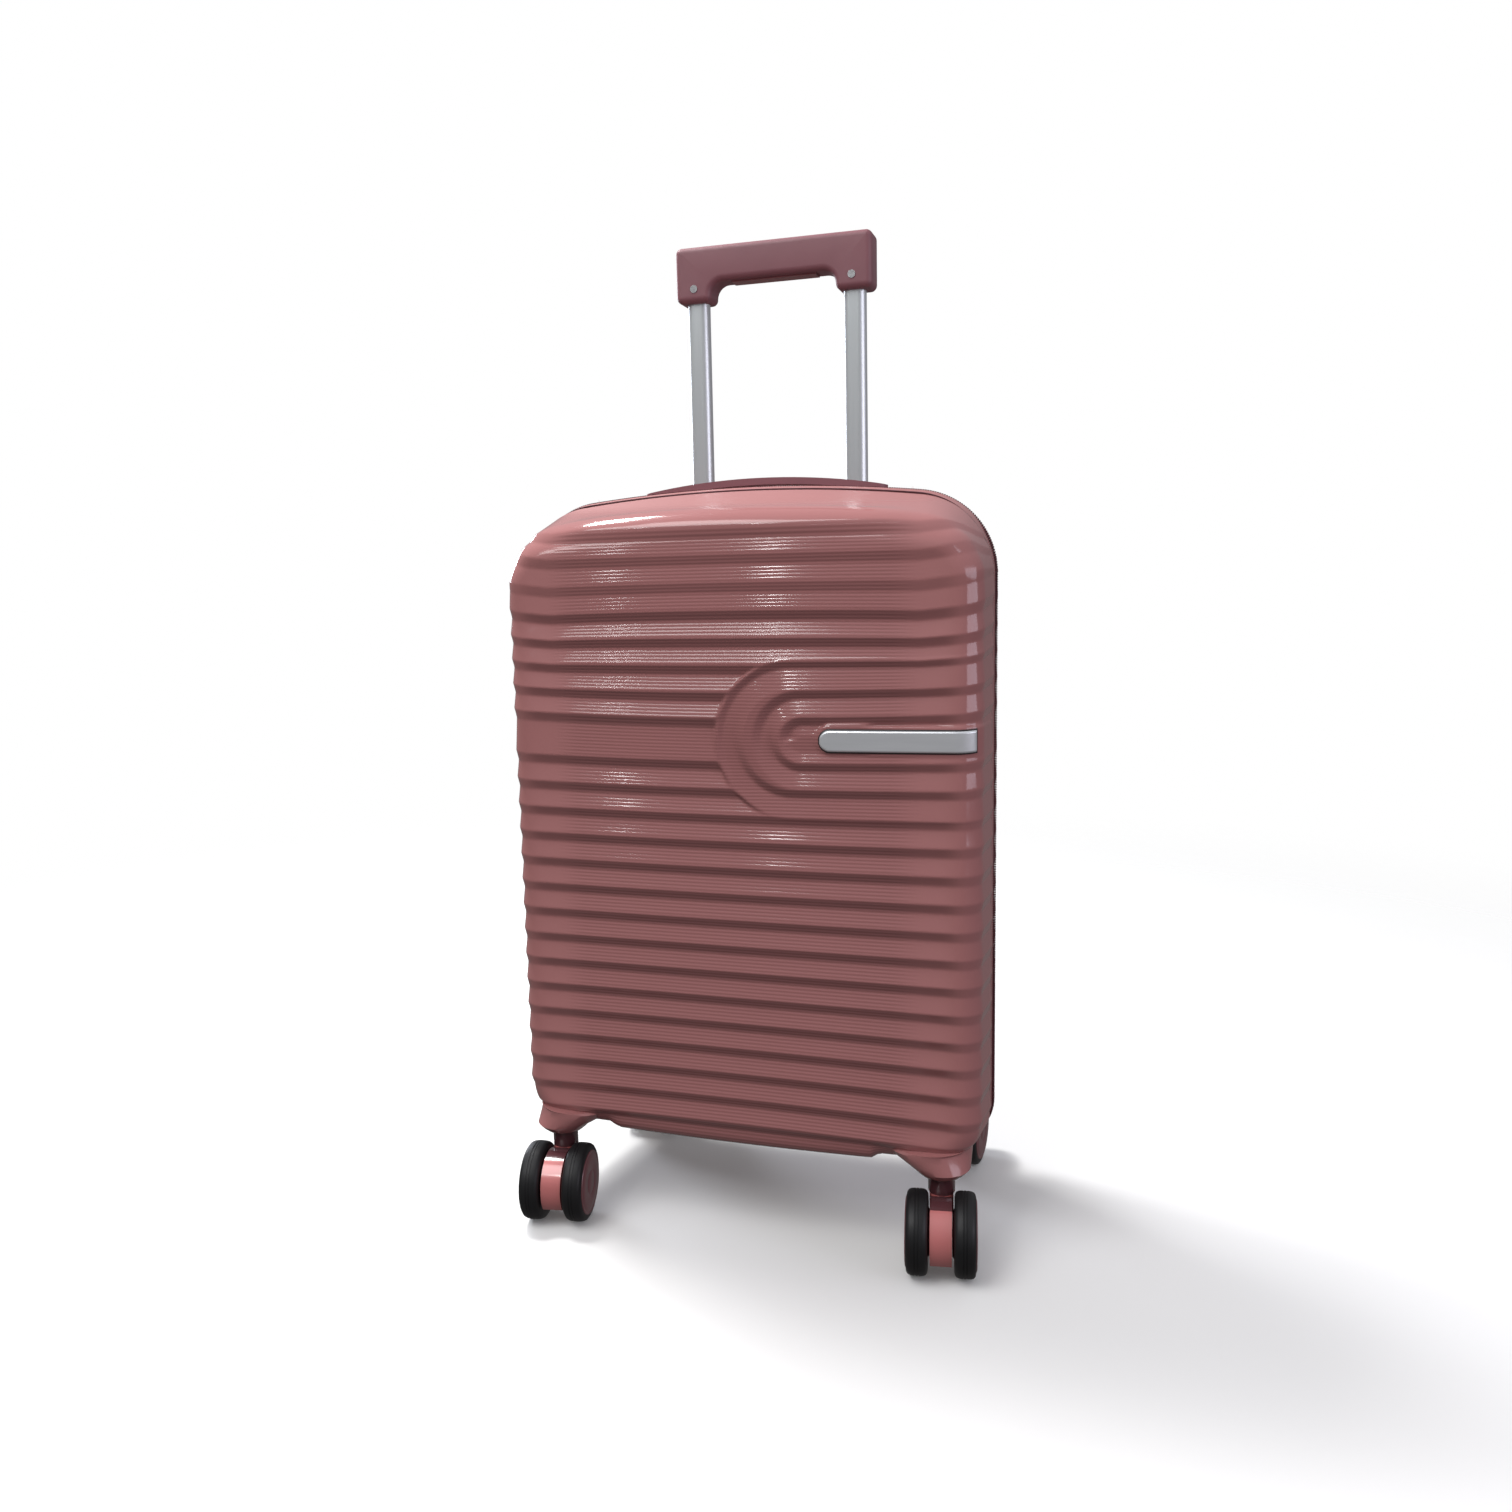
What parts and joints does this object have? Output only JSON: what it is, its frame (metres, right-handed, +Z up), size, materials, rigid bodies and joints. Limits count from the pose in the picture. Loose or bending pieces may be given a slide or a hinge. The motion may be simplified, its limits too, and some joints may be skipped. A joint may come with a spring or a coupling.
{
  "type": "hard shell suitcase",
  "caption": "Ribbed hard shell cabin suitcase on twin-wheel casters, with a telescopic pull handle, carry handles, a zipped hinged lid and a combination lock.",
  "frame": {"origin": "on the floor under the middle of the case's bounding box", "axes": "+X to the case's right as seen from its front (lid) side, +Y towards its back, where the pull handle is, +Z up; the casters stand on Z = 0"},
  "size_m": [0.3627, 0.235, 0.736],
  "materials": {
    "shell": "satin rose polycarbonate",
    "zip": "dark maroon woven tape",
    "lining": "woven lining",
    "strap": "webbing and mesh",
    "tube_metal": "satin anodised",
    "trim": "matt rose",
    "trim_gloss": "gloss dark rose",
    "grip": "matt mauve rose",
    "dark_plastic": "matt",
    "steel": "bright",
    "zip_metal": "plated",
    "badge": "satin plate with a bright edge",
    "tyre": "satin black",
    "hub": "gloss maroon"
  },
  "bodies": {
    "body": {"rear_shell": "shell", "rear_zip_tape": "zip", "rear_lining": "lining", "rear_lining_panels": "lining", "trolley_outer_tubes": "tube_metal", "trolley_foot_bracket": "dark_plastic", "trolley_bezel": "trim", "trolley_cover": "lining", "top_handle_mounts": "trim", "side_handle_mounts": "trim", "lock_housing": "trim", "packing_straps": "strap", "strap_buckle": "dark_plastic", "rear_caster_mounts": "trim_gloss", "rear_screws": "steel"},
    "lid": {"front_shell": "shell", "front_zip_tape": "zip", "front_lining": "lining", "front_lining_panels": "lining", "mesh_pocket": "strap", "badge_plate": "badge", "badge_gasket": "dark_plastic", "front_caster_mounts": "trim_gloss", "front_screws": "steel"},
    "handle_middle": {"middle_tubes": "tube_metal", "middle_tube_collars": "trim"},
    "handle_top": {"inner_tubes": "tube_metal", "inner_tube_plugs": "dark_plastic", "handle_grip": "grip", "grip_rivets": "steel"},
    "release_button": {"release_button": "trim", "push_rods": "steel"},
    "latch_pins": {"latch_pins": "steel"},
    "top_handle": {"top_handle": "grip"},
    "side_handle": {"side_handle": "grip"},
    "zip_slider_upper": {"zip_slider_upper": "zip_metal"},
    "zip_slider_lower": {"zip_slider_lower": "zip_metal"},
    "zip_pull_upper": {"zip_pull_upper": "zip_metal"},
    "zip_pull_lower": {"zip_pull_lower": "zip_metal"},
    "lock_dial_1": {"lock_dial_1": "dark_plastic"},
    "lock_dial_2": {"lock_dial_2": "dark_plastic"},
    "lock_dial_3": {"lock_dial_3": "dark_plastic"},
    "lock_button": {"lock_button": "trim"},
    "lock_key_cylinder": {"lock_key_cylinder": "zip_metal"},
    "caster_front_left": {"fork_front_left": "trim_gloss"},
    "wheels_front_left": {"axle_front_left": "steel", "tyres_front_left": "tyre", "hubs_front_left": "hub"},
    "caster_front_right": {"fork_front_right": "trim_gloss"},
    "wheels_front_right": {"axle_front_right": "steel", "tyres_front_right": "tyre", "hubs_front_right": "hub"},
    "caster_rear_left": {"fork_rear_left": "trim_gloss"},
    "wheels_rear_left": {"axle_rear_left": "steel", "tyres_rear_left": "tyre", "hubs_rear_left": "hub"},
    "caster_rear_right": {"fork_rear_right": "trim_gloss"},
    "wheels_rear_right": {"axle_rear_right": "steel", "tyres_rear_right": "tyre", "hubs_rear_right": "hub"}
  },
  "joints": [
    {"name": "lid_hinge", "type": "hinge", "parent": "body", "child": "lid", "pos_m": [0.1784, -0.0165, 0.3], "axis": [0, 0, 1], "range_deg": [0, 180]},
    {"name": "handle_middle_slide", "type": "slide", "parent": "body", "child": "handle_middle", "axis": [0, 0, 1], "range_m": [0, 0.205]},
    {"name": "handle_top_slide", "type": "slide", "parent": "handle_middle", "child": "handle_top", "axis": [0, 0, 1], "range_m": [-0.142, 0.06]},
    {"name": "release_button_slide", "type": "slide", "parent": "handle_top", "child": "release_button", "axis": [0, 0, 1], "range_m": [0, 0.003], "stiffness_N_per_m": 800, "springref_m": -0.002},
    {"name": "latch_pins_slide", "type": "slide", "parent": "handle_top", "child": "latch_pins", "axis": [0, -1, 0], "range_m": [0, 0.003]},
    {"name": "top_handle_lift", "type": "slide", "parent": "body", "child": "top_handle", "axis": [0, 0, 1], "range_m": [0, 0.015], "stiffness_N_per_m": 150},
    {"name": "side_handle_pull", "type": "slide", "parent": "body", "child": "side_handle", "axis": [-0.9879, 0.155, 0], "range_m": [0, 0.015], "stiffness_N_per_m": 150},
    {"name": "zip_slider_upper_slide", "type": "slide", "parent": "body", "child": "zip_slider_upper", "axis": [0, 0, 1], "range_m": [0, 0.08]},
    {"name": "zip_slider_lower_slide", "type": "slide", "parent": "body", "child": "zip_slider_lower", "axis": [0, 0, 1], "range_m": [-0.155, 0]},
    {"name": "zip_pull_upper_hinge", "type": "hinge", "parent": "zip_slider_upper", "child": "zip_pull_upper", "pos_m": [-0.1835, -0.0165, 0.392], "axis": [0, 1, 0], "range_deg": [0, 160]},
    {"name": "zip_pull_lower_hinge", "type": "hinge", "parent": "zip_slider_lower", "child": "zip_pull_lower", "pos_m": [-0.1835, -0.0165, 0.268], "axis": [0, 1, 0], "range_deg": [0, 160]},
    {"name": "lock_dial_1_turn", "type": "hinge", "parent": "body", "child": "lock_dial_1", "pos_m": [-0.1704, 0.00741, 0.306], "axis": [0, 0, 1], "continuous": true},
    {"name": "lock_dial_2_turn", "type": "hinge", "parent": "body", "child": "lock_dial_2", "pos_m": [-0.1704, 0.00741, 0.314], "axis": [0, 0, 1], "continuous": true},
    {"name": "lock_dial_3_turn", "type": "hinge", "parent": "body", "child": "lock_dial_3", "pos_m": [-0.1704, 0.00741, 0.322], "axis": [0, 0, 1], "continuous": true},
    {"name": "lock_button_slide", "type": "slide", "parent": "body", "child": "lock_button", "axis": [0, 0, 1], "range_m": [0, 0.003], "stiffness_N_per_m": 200},
    {"name": "lock_key_turn", "type": "hinge", "parent": "body", "child": "lock_key_cylinder", "pos_m": [-0.17416, 0.008, 0.355], "axis": [-0.9879, 0.155, 0], "range_deg": [0, 90]},
    {"name": "caster_front_left_swivel", "type": "hinge", "parent": "lid", "child": "caster_front_left", "pos_m": [-0.1465, -0.0665, 0.07], "axis": [0, 0, 1], "continuous": true},
    {"name": "wheels_front_left_spin", "type": "hinge", "parent": "caster_front_left", "child": "wheels_front_left", "pos_m": [-0.14337, -0.08625, 0.0288], "axis": [0.9877, 0.1564, 0], "continuous": true},
    {"name": "caster_front_right_swivel", "type": "hinge", "parent": "lid", "child": "caster_front_right", "pos_m": [0.1465, -0.0665, 0.07], "axis": [0, 0, 1], "continuous": true},
    {"name": "wheels_front_right_spin", "type": "hinge", "parent": "caster_front_right", "child": "wheels_front_right", "pos_m": [0.14928, -0.08631, 0.0288], "axis": [0.9903, 0.1392, 0], "continuous": true},
    {"name": "caster_rear_left_swivel", "type": "hinge", "parent": "body", "child": "caster_rear_left", "pos_m": [-0.131, 0.0675, 0.07], "axis": [0, 0, 1], "continuous": true},
    {"name": "wheels_rear_left_spin", "type": "hinge", "parent": "caster_rear_left", "child": "wheels_rear_left", "pos_m": [-0.1324, 0.08745, 0.0288], "axis": [-0.9976, -0.0698, 0], "continuous": true},
    {"name": "caster_rear_right_swivel", "type": "hinge", "parent": "body", "child": "caster_rear_right", "pos_m": [0.131, 0.0675, 0.07], "axis": [0, 0, 1], "continuous": true},
    {"name": "wheels_rear_right_spin", "type": "hinge", "parent": "caster_rear_right", "child": "wheels_rear_right", "pos_m": [0.13274, 0.08742, 0.0288], "axis": [-0.9962, 0.0872, 0], "continuous": true}
  ],
  "couplings": [
    {"joint": "latch_pins_slide", "follows": "release_button_slide", "ratio": 1}
  ]
}
